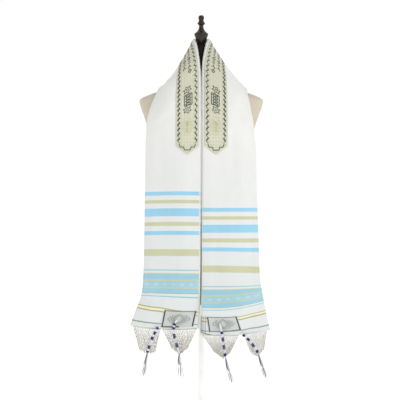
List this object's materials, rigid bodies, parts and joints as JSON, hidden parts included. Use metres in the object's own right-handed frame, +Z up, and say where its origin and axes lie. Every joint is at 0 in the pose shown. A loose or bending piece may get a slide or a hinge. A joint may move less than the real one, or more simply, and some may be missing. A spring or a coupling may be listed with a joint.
{
  "type": "tallit prayer shawl on a dress form",
  "caption": "White prayer shawl with woven blue and gold stripes, embroidered neckband, knotted fringe and corner tassels, draped on a limbless linen dress form with a stand.",
  "frame": {"origin": "centre of the base plate's underside, on the floor under the pole", "axes": "+Z up along the pole, -Y towards the front of the form where the two panels hang, +X to the viewer's right"},
  "size_m": [0.4081, 0.3, 1.191],
  "materials": {
    "woven_cloth": "satin",
    "brocade_band": "woven brocade",
    "patch_cloth": "silvery satin",
    "fringe_yarn": "twisted yarn",
    "tassel_cord": "knotted cord, violet and white",
    "form_linen": "plain linen over a hard shell",
    "turned_wood": "dark polished lacquer",
    "white_paint": "white powder coat"
  },
  "bodies": {
    "root": {"shawl_cloth": "woven_cloth", "neckband": "brocade_band", "corner_patch_left": "patch_cloth", "corner_patch_right": "patch_cloth", "fringe_left_outer": "fringe_yarn", "fringe_left_inner": "fringe_yarn", "fringe_right_inner": "fringe_yarn", "fringe_right_outer": "fringe_yarn", "tassel_left_outer": "tassel_cord", "tassel_left_inner": "tassel_cord", "tassel_right_inner": "tassel_cord", "tassel_right_outer": "tassel_cord", "form_torso": "form_linen", "form_neck_cap": "turned_wood", "form_finial": "turned_wood", "stand_pole": "white_paint", "stand_base": "white_paint"}
  },
  "joints": []
}
